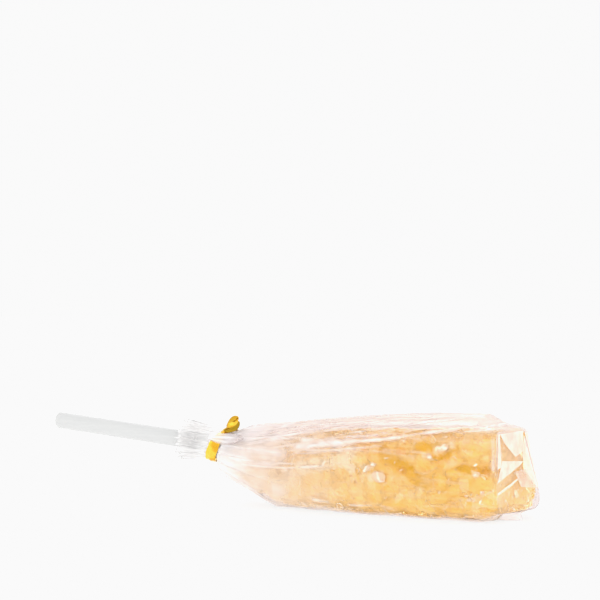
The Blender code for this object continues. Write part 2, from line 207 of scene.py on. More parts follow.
# Folds of film on the end, as (across, height) corners in mm, and the least and most share of white in them
END_FOLDS = {
    "top": ((-9.2, 21.3), (4.4, 21.4), (4.3, 16.4), (-0.2, 15.3), (-6.7, 19.0)),
    "near": ((-8.1, 14.9), (3.9, 14.0), (2.6, 13.2), (-10.6, 9.8)),
    "far": ((4.9, 20.2), (9.0, 7.5), (8.2, 7.5), (4.8, 11.0), (4.0, 15.4)),
    "corner": ((5.4, 20.9), (7.6, 20.8), (9.7, 7.3), (9.5, 7.2)),
    "edge": ((-10.2, 21.3), (-9.5, 21.3), (-8.6, 14.9), (-8.8, 13.4), (-10.6, 13.0)),
    "crease": ((-10.6, 6.9), (-3.8, 8.2), (0.5, 9.7), (0.5, 10.1), (-3.8, 8.8), (-10.6, 7.4)),
}
FOLD_WHITE = (0.5, 0.8)
THIN_END_FOLDS = {
    "patch": ((-0.6, 11.8), (5.6, 12.2), (9.0, 7.1), (1.6, 8.0)),
}
THIN_FOLD_WHITE = (0.15, 0.45)
FOLD_THICKNESS = 0.08 * MM
# A fold of the neck's film that has slipped over the tie: its stations, the degrees round the bag
# of its middle line at both ends, the degrees that it covers on each side of that, and its own pleats
NECK_FOLD = (-2.6 * MM, 10.0 * MM)
NECK_FOLD_MIDDLE = (155, 150)
NECK_FOLD_HALF = 19
NECK_FOLD_RADIUS = 4.95 * MM
NECK_FOLD_PLEAT = 0.16
# Haze at the fold's edges and in its middle: its white is partly film and partly a painted highlight, the
# glare that hides the middle of the tie
NECK_FOLD_HAZE = (0.12, 0.62)
# A flap of film that hangs from the end's lower edge to the floor: its corners on the floor,
# as (station, across) in mm, and those on the end, as places across in mm, with their height
FLAP_FOOT = ((80.0, -2.4), (85.2, 0.6))
FLAP_TOP = (-8.0, 0.4)
FLAP_TOP_HEIGHT = 2.2
FLAP_WAVE = 0.25 * MM
FLAP_HAZE = 0.62

# The sugar: how far it stays from the film, its stations, and how high it reaches along the middle
# and along the shown side, as (station, height) in mm
SUGAR_GAP = 0.45 * MM
SUGAR_GAP_AT_NECK = 0.7 * MM
SUGAR_FROM = 2.4 * MM
SUGAR_FULL = 9.0 * MM
SUGAR_TO = 83.4 * MM
CORE_FROM = SUGAR_FROM + 3 * MM
SUGAR_MIDDLE_TOP = ((8, 16.5), (20, 18.0), (32, 20.3), (60, 21.2), (84, 22.2))
SUGAR_NEAR_TOP = ((20, 14.5), (47, 17.9), (66, 20.4), (84, 22.0))
# The crystals. How proud one stands of the sugar is in mm, as are the half lengths at the end
CRYSTAL_SEED = 7
CRYSTAL_PITCH = 4.5 * MM
CRYSTAL_HALF_LENGTH = (1.9 * MM, 5.0 * MM)
CRYSTAL_PROUD = (-0.9, 1.2)
CRYSTAL_TILT = 0.2
CRYSTAL_RING_RADIUS = 10.5 * MM
CRUMBS = 190
CRUMB_HALF_LENGTH = (0.5 * MM, 1.1 * MM)
CRUMB_PROUD = (0, 0.4)
CRUMB_TILT = 1.0
END_CRYSTALS = 16
END_HALF_LENGTH = (2.4, 4.6)
END_PROUD = (-0.4, 0.5)
END_TILT = 0.3
FROST = 0.25
# The block under the crystals and the cloudy heart inside them: how deep their lumpy surfaces lie
BLOCK_DEPTH = (0.8 * MM, 1.3 * MM)
BLOCK_STEPS = 40
HEART_DEPTH = (1.3 * MM, 2.7 * MM)
HEART_STEP = 0.6 * MM
HEART_AROUND = 126
LUMP_SIZE = 4 * MM
FACET_SIZE = 2.6 * MM
# How many times deeper the heart lies at its upper edges and at the folded end
HEART_EDGE = 1.7
HEART_END = 1.4
HEART_END_RANGE = (76 * MM, 81 * MM)
# Marks on the cloudy heart, as ((station in mm, degrees) points, width in mm, strength)
DEEP_MARKS = (
    (((53.4, 151), (55.8, 163), (58.8, 172), (60.8, 180), (62.2, 189)), 3.0, 1.0),
    (((53.4, 164), (57.5, 172)), 2.0, 0.7),
    (((74.0, 170), (76, 171), (81.3, 171.5)), 2.0, 1.0),
    (((62.6, 147), (65.3, 146), (67.8, 143)), 2.1, 1.0),
    (((66.6, 160), (68.6, 156.5), (70.8, 153)), 1.7, 1.0),
    (((68.6, 142), (70.8, 144), (73.3, 147)), 1.7, 0.9),
    (((60.1, 154), (62.3, 153)), 1.5, 0.8),
    (((43.6, 162), (44.6, 172), (46.6, 183)), 1.5, 0.9),
    (((37.1, 180), (38.6, 184)), 1.4, 0.8),
    (((64.6, 194), (67.3, 189)), 2.4, 0.35),
    (((71.6, 214), (73.8, 209)), 2.4, 0.35),
    (((57.0, 196), (61.0, 203)), 2.0, 0.25),
)
PALE_MARKS = (
    (((29.5, 189), (37.6, 173), (43.6, 160)), 3.4, 1.0),
    (((41.0, 158), (44.4, 180)), 2.4, 0.9),
    (((48.1, 175), (48.1, 183)), 1.2, 1.0),
    (((50.1, 169), (50.1, 176)), 1.0, 1.0),
    (((50.2, 189), (52.6, 185)), 1.9, 1.0),
    (((67.6, 150), (71.3, 144)), 1.8, 0.6),
    (((64.4, 155), (66.3, 158)), 1.1, 0.8),
    (((77.5, 176), (78.0, 179)), 1.3, 0.9),
    (((60.5, 206), (63.5, 202)), 1.4, 0.4),
)
# The number of pale chips that lie inside each outline of (station in mm, degrees) corners
PALE_CHIPS = (
    (((29.5, 182), (33, 172), (42, 154), (45.5, 178), (42, 184)), 26),
    (((48.3, 171), (51.4, 169), (51.4, 182), (48.3, 183)), 9),
    (((50.4, 184), (53.4, 183), (53.8, 190), (51.2, 192)), 14),
    (((67, 149), (71, 143), (72, 147), (68, 153)), 14),
    (((77.6, 174), (79.4, 174), (79.6, 180), (77.8, 180)), 7),
    (((75, 200), (81, 198), (80, 218), (74, 218)), 12),
    (((68, 202), (71, 202), (71, 206), (68, 206)), 4),
)
CHIP_OUTLINE = ((-1, -0.3), (-0.4, -1), (0.7, -0.6), (1, 0.2), (0.1, 1))
CHIP_LENGTH = (0.2 * MM, 0.85 * MM)
CHIP_DEPTH = (0.3 * MM, 1.6 * MM)
CHIP_THICKNESS = 0.06 * MM
# Chips anywhere: their number, their stations in mm, and how often one is deep amber in place of pale
RANDOM_CHIPS = 190
RANDOM_CHIP_RANGE = (16, 82)
DEEP_CHIP_EVERY = 8
# Pale pebbles under the surface, as (station in mm, degrees, half length, half width and depth in mm)
PEBBLES = (
    (49.0, 178, 1.2, 0.8, 0.6),
    (51.0, 172, 1.0, 0.6, 0.6),
    (52.4, 187, 2.1, 1.5, 0.4),
    (78.4, 177, 1.0, 0.8, 1.0),
    (66.0, 157, 1.0, 0.7, 0.9),
    (69.6, 148, 1.6, 0.8, 1.2),
    (80.0, 200, 0.6, 0.6, 0.4),
    (76.0, 204, 0.5, 0.4, 0.4),
)
PEBBLE_FLATNESS = 0.4
PEBBLE_CORNERS = 18
PEBBLE_SKIN = 0.05 * MM
# Pebbles and chips behind the folded end: each pebble as (across, height, half length, half width) in mm
END_PEBBLES = (
    (0.5, 6.4, 1.3, 1.1),
    (-4.6, 5.0, 0.6, 0.5),
    (5.0, 4.2, 0.6, 0.4),
    (6.5, 9.6, 0.5, 0.4),
)
END_PEBBLE_DEPTH = 0.3 * MM
END_CHIPS = 46
# The depth of the end's chips, in mm
END_CHIP_DEPTH = (0.1, 0.6)

# The twist tie: a foil ribbon over a wire. The radius of its twist is in mm
RIBBON_WIDTH = 2.9 * MM
RIBBON_EDGE = 0.14 * MM
RIBBON_WIRE = 0.5 * MM
WIRE_SHARE = 0.28
RIBBON_RADIUS = 4.4 * MM
RING_STEPS = 96
STRAND_STEPS = 40
TWIST_AT = 128
TWIST_DIRECTION = (0.8, -0.05, 0.6)
TWIST_LENGTH = 2.2 * MM
TWIST_TURNS = 0.75
TWIST_WIDTH = (0.45, 0.85)
TWIST_RADIUS = 0.4
TAIL_LENGTH = 3.8 * MM
TAIL_SPLAY = 0.8 * MM
TAIL_TAPER = 0.75
# The two ends of the ribbon, as (turn round the twist, side to which its tail bends, strength of the painted
# shade on one half of it)
STRANDS = ((0.0, 1, 0.5), (pi, -1, 0.9))


def lerp(a, b, share):
    return a + (b - a) * share


def shares(steps):
    """Even shares from 0 to 1."""
    return [k / steps for k in range(steps + 1)]


def turns(count):
    """Even angles, once round."""
    return [tau * n / count for n in range(count)]


def grid(place_at, ones, others):
    """Rows of what place_at gives for each pair of values."""
    return [[place_at(one, other) for other in others] for one in ones]


def ease(value, start, end):
    """0 before start and 1 after end, with a smooth step between."""
    share = min(1.0, max(0.0, (value - start) / (end - start)))
    return share * share * (3 - 2 * share)


def along_table(table, station):
    """Straight steps between the (station, height) pairs of a table in mm."""
    place = station / MM
    if place <= table[0][0]:
        return table[0][1] * MM
    for (a, low), (b, high) in zip(table, table[1:]):
        if place <= b:
            return lerp(low, high, (place - a) / (b - a)) * MM
    return table[-1][1] * MM


# Outline of the bag

def centre_height(station):
    return max(BODY_CENTRE_HEIGHT, STICK_HEIGHT - STICK_SLOPE * station)


def past_neck(station, full_at):
    return max(0.0, station - NECK_HALF_LENGTH) / (full_at - NECK_HALF_LENGTH)


def spread(station, full_at):
    """0 at the neck and 1 where the bag has opened out, fast at first."""
    return min(1.0, past_neck(station, full_at)) ** NECK_TO_WIDE_POWER


def half_width(station):
    end_taper = END_TAPER * ease(station, HIP_START, BAG_LENGTH)
    return lerp(NECK_RADIUS, BAG_HALF_WIDTH, spread(station, WIDE_START)) - end_taper


def depth_below(station):
    underside = lerp(STICK_HEIGHT - NECK_RADIUS, -UNDERSIDE_CUT, spread(station, FLOOR_START))
    return centre_height(station) - underside - END_LIFT * ease(station, HIP_START, BAG_LENGTH)


def height_above(station, eave):
    risen = 1 - (1 - min(1.0, past_neck(station, HIP_START))) ** RIDGE_POWER
    hip = min(1.0, max(0.0, station - HIP_START) / HIP_LENGTH)
    return lerp(lerp(STICK_HEIGHT + NECK_RADIUS, RIDGE_HEIGHT, risen), eave, hip) - centre_height(station)


def section_planes(station):
    """(angle, distance) of the flat sides of the section, from the far side over the top."""
    body = ease(station, *BODY_RANGE)
    hip = ease(station, HIP_START, BAG_LENGTH)
    wide, below = half_width(station), depth_below(station)
    far_wall = radians(FAR_WALL_TILT) * ease(station, BAG_LENGTH / 2, BAG_LENGTH)
    far_gable = radians(lerp(lerp(ROUND_GABLE, FAR_GABLE, body), FAR_HIP, hip))
    near_gable = radians(lerp(lerp(ROUND_GABLE, NEAR_GABLE, body), NEAR_HIP, hip))
    far_above = height_above(station, (FAR_EAVE_HEIGHT + NEAR_EAVE_HEIGHT) / 2)
    near_above = height_above(station, NEAR_EAVE_HEIGHT)
    corner = lerp(ROUND_CORNER, BODY_CORNER, body) * sin(pi / 4) * (wide + below)
    return [
        (far_wall, wide - FAR_END_IN * hip),
        (far_gable, far_above * lerp(1, sin(far_gable), body)),
        (radians(90), near_above * lerp(1, RIDGE_SLACK, body)),
        (radians(180) - near_gable, near_above * lerp(1, sin(near_gable), body)),
        (radians(180), wide),
        (radians(225), corner),
        (radians(270), below),
        (radians(315), corner * lerp(1, FAR_END_CORNER, hip)),
    ]


def film_radius(station, angle):
    """The section's radius at an angle: a polygon of flat sides with rounded corners."""
    if station <= 0:
        return lerp(NECK_RADIUS, FRILL_RADIUS, past_neck(-station, FRILL_LENGTH))
    sharpness = lerp(*SECTION_SHARPNESS, ease(station, 0, BAG_LENGTH))
    total = 0.0
    for normal, distance in section_planes(station):
        total += max(0.0, cos(angle - normal) / distance) ** sharpness
    return total ** (-1 / sharpness)


def lean(station):
    if station < 0:
        return lerp(NECK_LEAN, RIM_LEAN, ease(-station, 0, FRILL_LENGTH))
    return NECK_LEAN * (1 - ease(station, 0, LEAN_REACH))


def slant(station, across, rise):
    """How far a place lies along the stick from its own station: the neck leans and the end is skewed."""
    skew = END_SKEW * ease(station, HIP_START - 2 * HIP_LENGTH, BAG_LENGTH)
    far_and_low = (across - rise) / BAG_HALF_WIDTH / 2
    return lean(station) * rise + skew * max(0.0, far_and_low)


def bag_place(station, angle, radius):
    """(x, y, z) of a point of the bag, seen from the neck."""
    across, rise = radius * cos(angle), radius * sin(angle)
    return station + slant(station, across, rise), across, centre_height(station) + rise


# Placing in the frame

def neck_place():
    low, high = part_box("stick")
    return Vector(((low.x + high.x) / 2 - STICK_MIDDLE, (low.y + high.y) / 2, 0))


NECK = neck_place()
ALONG = Vector((1, 0, 0))


def bag_point(station, angle, radius):
    return NECK + Vector(bag_place(station, angle, radius))


def polar(across, rise):
    """(angle, radius) of a place in a section."""
    return atan2(rise, across), hypot(across, rise)


def end_point(station, across, height):
    """A point near the folded end, from its place across and its height in mm."""
    return bag_point(station, *polar(across * MM, height * MM - BODY_CENTRE_HEIGHT))


def outward_at(angle):
    return Vector((0, cos(angle), sin(angle)))


def new_object(name, data, collection=None):
    made = bpy.data.objects.new(name, data)
    (collection or bpy.context.scene.collection).objects.link(made)
    return made


def new_piece(name, mesh, material, node="wrapped_candy"):
    """An object that rides on the part in place of the node, which it hides, with the material it is given.
    """
    piece = new_object(name, mesh)
    mesh.materials.append(material)
    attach(piece, "root")
    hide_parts(node)
    return piece


# Meshes

def finished_mesh(bm, name, smooth=False):
    bmesh.ops.recalc_face_normals(bm, faces=bm.faces)
    mesh = bpy.data.meshes.new(name)
    bm.to_mesh(mesh)
    bm.free()
    if smooth:
        mesh.shade_smooth()
    return mesh


def add_hull(bm, points):
    """Adds the convex solid round points."""
    made = bmesh.ops.convex_hull(bm, input=[bm.verts.new(point) for point in points])
    spare = {item for item in made["geom_interior"] if isinstance(item, bmesh.types.BMVert)}
    bmesh.ops.delete(bm, geom=list(spare), context="VERTS")


def plates_piece(name, plates, material):
    """One piece of many thin plates, each (points, outward, thickness)."""
    bm = bmesh.new()
    for points, outward, thickness in plates:
        add_hull(bm, points + [point + outward * thickness for point in points])
    new_piece(name, finished_mesh(bm, name), material)


def bridge(bm, rows, round_rows=True):
    """Faces between each row and the next."""
    count = len(rows[0])
    for one, two in zip(rows, rows[1:]):
        for n in range(count if round_rows else count - 1):
            m = (n + 1) % count
            bm.faces.new((one[n], one[m], two[m], two[n]))


def sheet_from_rows(name, rows, layer_names=("haze", "shade"), round_rows=True, caps=(-1,), smooth=True):
    """A mesh through rows of (point, value, value), with the values kept as attributes."""
    bm = bmesh.new()
    layers = [bm.verts.layers.float.new(layer) for layer in layer_names]

    def add_vert(point, *values):
        vert = bm.verts.new(point)
        for layer, value in zip(layers, values):
            vert[layer] = value
        return vert

    made = [[add_vert(*corner) for corner in row] for row in rows]
    bridge(bm, made, round_rows)
    count = len(made[0])
    for end in caps:
        middle = add_vert(sum((vert.co for vert in made[end]), Vector()) / count, *rows[end][0][1:])
        for n in range(count):
            bm.faces.new((made[end][n], made[end][(n + 1) % count], middle))
    return finished_mesh(bm, name, smooth)


# Materials

class Nodes:
    """Short calls that add shader nodes to a material or world and give back an output."""

    def __init__(self, owner, kind="Material"):
        self.owner = owner
        owner.use_nodes = True
        self.tree = owner.node_tree
        self.tree.nodes.clear()
        self.end = self.tree.nodes.new("ShaderNodeOutput" + kind)

    def feed(self, node, inputs):
        for name, value in dict(inputs).items():
            if isinstance(value, bpy.types.NodeSocket):
                self.tree.links.new(value, node.inputs[name])
            else:
                node.inputs[name].default_value = value

    def add(self, kind, inputs=(), output=0, **settings):
        node = self.tree.nodes.new("ShaderNode" + kind)
        for name, value in settings.items():
            setattr(node, name, value)
        self.feed(node, inputs)
        return node.outputs[output]

    def finish(self, **shaders):
        """The material or world, with its surface and perhaps its volume."""
        self.feed(self.end, shaders)
        return self.owner

    def math(self, operation, *values, clamp=False):
        return self.add("Math", dict(enumerate(values)), operation=operation, use_clamp=clamp)

    def steps(self, value, low, high, to_low, to_high):
        """The value, moved from one range to another and held at its ends."""
        return self.add("MapRange", {
            "Value": value, "From Min": low, "From Max": high, "To Min": to_low, "To Max": to_high})

    def blend(self, share, one, two):
        return self.add("Mix", {0: share, 6: one, 7: two}, 2, data_type="RGBA")

    def mix(self, share, one, two):
        return self.add("MixShader", {0: share, 1: one, 2: two})

    def place(self):
        return self.add("TexCoord", output="Object")

    def noise(self, scale, detail=2.0, stretch=None):
        place = self.place()
        if stretch:
            place = self.add("Mapping", {"Vector": place, "Scale": stretch})
        return self.add("TexNoise", {"Vector": place, "Scale": scale, "Detail": detail}, "Fac")

    def streaks(self, across, along):
        """Noise that is drawn out along the stick, with its sizes in metres."""
        return self.noise(1.0, stretch=(1 / along, 1 / across, 1 / across))

    def along(self, start, end, at_start, at_end):
        """A value that changes between two stations in mm."""
        place = self.add("SeparateXYZ", {"Vector": self.place()})
        return self.steps(place, NECK.x + start * MM, NECK.x + end * MM, at_start, at_end)

    def attribute(self, name):
        return self.add("Attribute", output="Fac", attribute_name=name)

    def bump(self, height, strength, distance):
        return self.add("Bump", {"Height": height, "Strength": strength, "Distance": distance})

    def film(self, haze, white_through, white, least_shine, clear, gloss):
        """See-through film that shines more towards its edges, whitened by haze."""
        facing = self.add("LayerWeight", {"Blend": 0.5}, "Facing")
        shine = self.math("MULTIPLY_ADD", self.math("POWER", facing, 5.0), 0.9, least_shine)
        body = self.mix(shine, self.add("BsdfTransparent", {"Color": clear}), self.add("BsdfGlossy", gloss))
        matt, glow = (self.add(kind, {"Color": white}) for kind in ("BsdfDiffuse", "BsdfTranslucent"))
        return self.finish(Surface=self.mix(haze, body, self.mix(white_through, matt, glow)))


def new_material(name):
    return Nodes(bpy.data.materials.new(name))


def sugar_glass():
    """Clear amber crystal with cloudy and frosted facets, duller near the neck."""
    n = new_material("clear_sugar")
    cloud = n.steps(n.noise(160, 3.0), 0.54, 0.75, 0.0, 0.2)
    milky = n.math("ADD", cloud, n.attribute("frost"), clamp=True)
    surface = n.add("BsdfPrincipled", {
        "Base Color": n.blend(milky, (1.0, 0.93, 0.74, 1), (1.0, 0.9, 0.7, 1)),
        "Roughness": n.math("ADD", n.steps(milky, 0.0, 1.0, 0.1, 0.4), n.along(14, 36, 0.35, 0.0)),
        "IOR": 1.3,
        "Transmission Weight": n.steps(milky, 0.0, 1.0, 1.0, 0.35)})
    absorb = n.add("VolumeAbsorption", {"Color": (0.99, 0.86, 0.3, 1), "Density": 60.0})
    return n.finish(Surface=surface, Volume=absorb)


def matt_sugar(name, light, dark, size, heart=False):
    """Cloudy sugar inside the crystals, in two shades. The heart has marks and is paler towards its ends."""
    n = new_material(name)
    colour = n.blend(n.steps(n.noise(1 / size, 3.0), 0.38, 0.62, 0, 1), dark, light)
    if heart:
        paler = n.math("ADD", n.along(8, 52, 0.95, 0.0), n.along(80.5, 82, 0.0, 0.2))
        colour = n.blend(paler, colour, (0.925, 0.81, 0.63, 1))
        colour = n.blend(n.attribute("deep"), colour, (0.82, 0.525, 0.0, 1))
        colour = n.blend(n.attribute("pale"), colour, (1.0, 0.95, 0.85, 1))
    return n.finish(Surface=n.add("BsdfPrincipled", {
        "Base Color": colour, "Roughness": 0.9, "Specular IOR Level": 0.0}))


def clear_film():
    """Thin film with white stressed creases, tinted a little where it lies on the sugar, and turned brown by
    painted shade where the shade attribute is set.
    """
    n = new_material("clear_film")
    bag = n.along(-2, 16, 0, 1)
    tint = n.blend(bag, (0.965, 0.958, 0.957, 1), (0.968, 0.941, 0.936, 1))
    # Painted shade: the see-through tint turns brown where the shade attribute is set
    clear = n.blend(n.steps(n.attribute("shade"), 0, 1, 0, 0.8), tint, (0.72, 0.56, 0.5, 1))
    gloss = {"Color": (0.5, 0.47, 0.46, 1), "Roughness": 0.08,
             "Normal": n.bump(n.noise(900, 2.0, (0.3, 1, 1)), 0.12, 0.0002)}
    white = n.blend(bag, (0.92, 0.915, 0.925, 1), (0.848, 0.822, 0.835, 1))
    white = n.blend(n.along(-4, -1, 1, 0), white, (0.87, 0.873, 0.872, 1))
    streak = n.steps(n.streaks(1.1 * MM, 14 * MM), 0.5, 0.8, 0.0, 0.1)
    haze = n.math("ADD", n.attribute("haze"), streak, clamp=True)
    return n.film(haze, 0.5, white, 0.03, clear, gloss)


def folded_film(name, least, most):
    """Layers of film on each other, whiter than one, from the least to the most share of white."""
    n = new_material(name)
    patch = n.steps(n.noise(300, 2.0), 0.35, 0.65, least, most)
    gloss = {"Color": (0.6, 0.6, 0.6, 1), "Roughness": 0.12}
    return n.film(patch, 0.62, (0.98, 0.9, 0.87, 1), 0.08, (0.97, 0.93, 0.9, 1), gloss)


def white_plastic():
    n = new_material("white_plastic_stick")
    streak = n.streaks(0.5 * MM, 20 * MM)
    return n.finish(Surface=n.add("BsdfPrincipled", {
        "Base Color": n.blend(streak, (0.395, 0.4, 0.4, 1), (0.445, 0.445, 0.44, 1)),
        "Roughness": n.steps(streak, 0.3, 0.7, 0.3, 0.42),
        "Specular IOR Level": 0.12}))


def gold_foil():
    """Crinkled foil in two random tones of gold, painted dark brown as shade where the shade attribute is
    set.
    """
    n = new_material("crinkled_gold_foil")
    crinkle = n.noise(1500, 3.0)
    wide = n.steps(n.noise(500, 1.0), 0.4, 0.6, 0, 1)
    colour = n.blend(wide, (0.5, 0.27, 0.02, 1), (0.64, 0.41, 0.05, 1))
    return n.finish(Surface=n.add("BsdfPrincipled", {
        # Painted shade: the foil turns dark brown where the shade attribute is set
        "Base Color": n.blend(n.attribute("shade"), colour, (0.22, 0.135, 0.01, 1)),
        "Metallic": 1.0,
        "Roughness": n.steps(crinkle, 0.3, 0.7, 0.18, 0.38),
        "Normal": n.bump(crinkle, 0.3, 0.0003)}))


# Film

def gathered_film(rng):
    """(angle, reach, depth) of each pleat crest round the neck."""
    crests = [tau * (n + rng.uniform(-PLEAT_JITTER, PLEAT_JITTER)) / PLEATS for n in range(PLEATS)]
    pleats = []
    for crest in crests:
        upward = max(0.0, sin(crest))
        reach = lerp(rng.uniform(*PLEAT_REACH_BELOW), rng.uniform(*PLEAT_REACH_ABOVE), upward) * MM
        pleats.append((crest, reach, rng.uniform(*PLEAT_DEPTH) * MM))
    return pleats


def pleat_at(pleats, angle):
    """(side, reach, depth) at an angle: side is 1 on a crest and -1 in a valley."""
    for (crest, reach, depth), (after, next_reach, next_depth) in zip(pleats, pleats[1:] + pleats[:1]):
        gap = (after - crest) % tau
        past = (angle - crest) % tau
        if past < gap:
            share = past / gap
            side = 1 - 2 * sin(pi * share) ** 0.7
            return side, lerp(reach, next_reach, share), lerp(depth, next_depth, share)
    return 0.0, pleats[0][1], pleats[0][2]


def pleat_offset(station, side, reach, depth):
    if station < 0:
        return side * (PLEAT_AT_NECK + PLEAT_FLARE * ease(-station, NECK_HALF_LENGTH, FRILL_LENGTH))
    grown = ease(station, NECK_HALF_LENGTH, PLEATS_GROWN)
    fade = exp(-max(0.0, station - PLEATS_GROWN) / reach)
    flat_end = 1 - ease(station, HIP_START, BAG_LENGTH)
    return side * PLEAT_AT_NECK * fade + (side - 0.5) * grown * depth * fade * flat_end


def film_dent(station, angle):
    """Shallow dents where the tight film is drawn in between crystals."""
    tight = ease(station, *TIGHT_RANGE) * (1 - ease(sin(angle), 0.5, 0.8))
    place = Vector(bag_place(station, angle, film_radius(station, angle))) / DENT_SIZE
    return -FILM_DENT * tight * max(0.0, 0.5 + noise.noise(place))


def gap_to_line(station, turn, points, radius):
    """Distance in mm from a place to a line of (station, degrees) points, and how far along it, 0 to 1."""
    best, where = 1e9, 0.0
    count = len(points) - 1
    for n, ((a, low), (b, high)) in enumerate(zip(points, points[1:])):
        step = Vector((b - a, radians(high - low) * radius / MM))
        way = Vector((station / MM - a, radians(turn - low) * radius / MM))
        share = min(1.0, max(0.0, way.dot(step) / step.length_squared))
        gap = (way - step * share).length
        if gap < best:
            best, where = gap, (n + share) / count
    return best, where


def lines_near(lines, station, turn, radius, margin):
    """(gap, where, width, strength) of each line whose stations come this near to a place, in mm."""
    for points, width, strength in lines:
        if points[0][0] - margin < station / MM < points[-1][0] + margin:
            yield *gap_to_line(station, turn, points, radius), width, strength


def crease_line(start, length, *angles):
    """(station, degrees) points of a crease at its start, middle and end."""
    return tuple((start + length * k / 2, angle) for k, angle in enumerate(angles))


def random_creases(rng):
    """A fan of fine creases over the tent, and faint lengthwise ones all round the bag."""
    made = []
    for _ in range(FAN_CREASES):
        start, angle = rng.uniform(3, 34), rng.uniform(*FAN_START)
        length = rng.uniform(*FAN_LENGTH)
        turn = -0.4 * (angle - 90) * length / FAN_LENGTH[1]
        points = crease_line(start, length, angle, angle + 0.7 * turn, angle + turn)
        made.append((points, rng.uniform(0.22, 0.4), rng.uniform(0.25, 0.6)))
    for _ in range(RANDOM_CREASES):
        start, angle = rng.uniform(2, 60), rng.uniform(-20, 340)
        length, turn, bend = rng.uniform(8, 26), rng.uniform(-16, 10), rng.uniform(-3, 3)
        points = crease_line(start, length, angle, angle + turn / 2 + bend, angle + turn)
        made.append((points, rng.uniform(0.3, 0.7), rng.uniform(0.1, 0.3)))
    return made


def crease_at(creases, station, angle, radius):
    """(height share, haze, shade) of the creases at a place on the film; the shade is partly the brown of
    densely folded film and partly painted shade.
    """
    rise, haze, shade = 0.0, 0.0, 0.0
    turn = degrees(angle)
    for gap, where, width, strength in lines_near(creases, station, turn, radius, 3):
        if gap > 3 * width:
            continue
        taper = ease(where, -0.05, 0.12) * (1 - ease(where, 0.88, 1.05))
        uneven = 0.7 + 0.9 * noise.noise((station / (3.5 * MM), turn / 40, width * 20))
        taper *= min(1.0, max(0.15, uneven))
        share = exp(-((gap / width) ** 2) * 2.5) * taper
        rise = max(rise, share * min(1.0, strength * 2) * min(1.0, 0.5 / width))
        haze = max(haze, share * strength)
        # Painted shade, with the brown of densely folded film, in a line beside each fine crease
        beside = exp(-(((gap - SHADE_GAP * width) / (0.5 * width)) ** 2) * 2.5) * taper
        if width < FINE_CREASE and station > 0:
            shade = max(shade, beside * strength)
    return rise, haze, shade


def haze_area(area, facing, station):
    strength, facings, stations = area
    return strength * ease(facing, *facings) * ease(station, *stations)


def wide_haze(station, angle):
    """Soft haze near the neck, along the ridge, on the slope above the folded end and along the foot."""
    strength, reach = NECK_HAZE
    near_neck = strength * exp(-((max(0.0, station) / reach) ** 1.6))
    near_neck *= lerp(1, FRILL_HAZE, ease(-station, 2 * MM, 7 * MM))
    upward = sin(angle)
    ridge, end = (haze_area(area, upward, station) for area in (RIDGE_HAZE, END_HAZE))
    foot = haze_area(FOOT_HAZE, -upward, station) * (1 - ease(-upward, *FOOT_FADE))
    patchy = 0.75 + 0.5 * noise.noise(bag_point(station, angle, film_radius(station, angle)) / (5 * MM))
    return (near_neck + ridge + end + foot) * min(1.2, patchy)


def side_film(creases, station, angle, side, reach, depth):
    """(point, haze, shade) on the frill, the neck and the sides of the bag, with painted shade in the valleys
    of the pleats.
    """
    base = film_radius(station, angle)
    rise, haze, shade = crease_at(creases, station, angle, base)
    radius = base + pleat_offset(station, side, reach, depth)
    radius += film_dent(station, angle) + CREASE_HEIGHT * rise
    point = bag_point(station, angle, radius)
    point.z = max(point.z, FILM_THICKNESS)
    fade = exp(-max(0.0, station) / reach)
    gathered = GATHERED_HAZE * fade + CREST_HAZE * max(0.0, side) ** 3 * fade
    # Painted shade in the valleys between the pleats near the neck
    valley = VALLEY_SHADE * max(0.0, -side) ** 2 * fade * ease(station, 0, 6 * MM)
    return point, min(MOST_HAZE, max(haze, gathered) + wide_haze(station, angle)), max(shade, valley)


def end_film(share, angle):
    """(point, haze, painted shade) on the folded end, at a share of the way from its middle to its rim."""
    upper = ease(sin(angle), 0.0, 0.5)
    haze = lerp(*END_RIM_HAZE, upper) * ease(share, 0.9, 1.0) + END_FILM_HAZE
    point = bag_point(BAG_LENGTH, angle, share * film_radius(BAG_LENGTH, angle))
    return point, haze, END_SHADE * upper * ease(share, 0.8, 0.9)


def film_rows():
    """Rows from the frill's rim to the middle of the folded end."""
    rng = random.Random(PLEAT_SEED)
    pleats = gathered_film(rng)
    creases = [*CREASES, *random_creases(rng)]
    lines = [(angle, *pleat_at(pleats, angle)) for angle in turns(FILM_AROUND)]
    steps = round((BAG_LENGTH + FRILL_LENGTH) / FILM_STEP)
    stations = [lerp(-FRILL_LENGTH, FILM_TO, share) for share in shares(steps)]
    sides = grid(lambda station, line: side_film(creases, station, *line), stations, lines)
    return sides + grid(end_film, RIM_SHARES, turns(FILM_AROUND))


def neck_fold(share, across):
    """(point, haze, painted shade) of the film that has slipped over the tie, at shares along and across it;
    its haze is partly a painted highlight, the glare over the tie.
    """
    station, side = lerp(*NECK_FOLD, share), lerp(-1, 1, across)
    half = NECK_FOLD_HALF * sin(pi * lerp(0.06, 0.97, share)) ** 0.7
    angle = radians(lerp(*NECK_FOLD_MIDDLE, share) + half * side)
    base = film_radius(station, angle)
    over_tie = max(0.0, NECK_FOLD_RADIUS - base) * (1 - ease(station, 2 * MM, 8 * MM))
    pleat = NECK_FOLD_PLEAT * cos(9 * side + 3 * share)
    swell = (0.15 + (0.3 + pleat) * (1 - side ** 2) * sin(pi * share)) * MM
    inner = (1 - abs(side) ** 3) * (1 - share ** 2)
    haze = lerp(NECK_FOLD_HAZE[0], NECK_FOLD_HAZE[1] + pleat, inner)
    return bag_point(station, angle, base + over_tie + swell), haze, max(0.0, -pleat)


